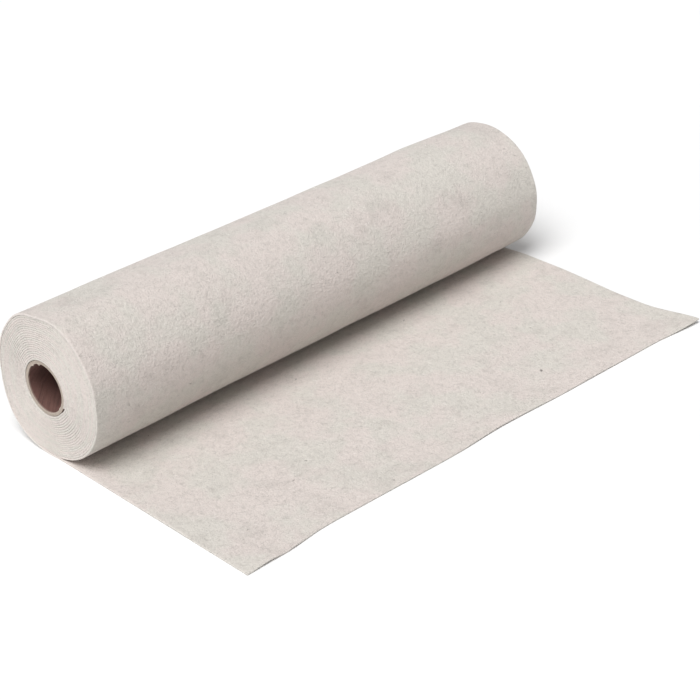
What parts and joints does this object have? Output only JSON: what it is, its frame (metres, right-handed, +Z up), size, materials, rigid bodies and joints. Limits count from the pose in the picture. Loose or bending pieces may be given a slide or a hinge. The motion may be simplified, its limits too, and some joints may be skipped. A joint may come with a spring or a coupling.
{
  "type": "roll of felt",
  "caption": "Roll of soft craft felt wound on a cardboard core, lying on its side with its loose end run out flat in front.",
  "frame": {"origin": "on the resting surface, under the middle of the roll", "axes": "+X along the roll from its near end to its far end, -Y the way the loose end runs out, +Z up"},
  "size_m": [0.4563, 0.2631, 0.1067],
  "materials": {
    "felt": "warm light grey needled felt, mottled, matt, with a short nap",
    "cardboard": "brown spirally wound core board with pale cut rims"
  },
  "bodies": {
    "root": {"felt": "felt", "core_tube": "cardboard"}
  },
  "joints": []
}
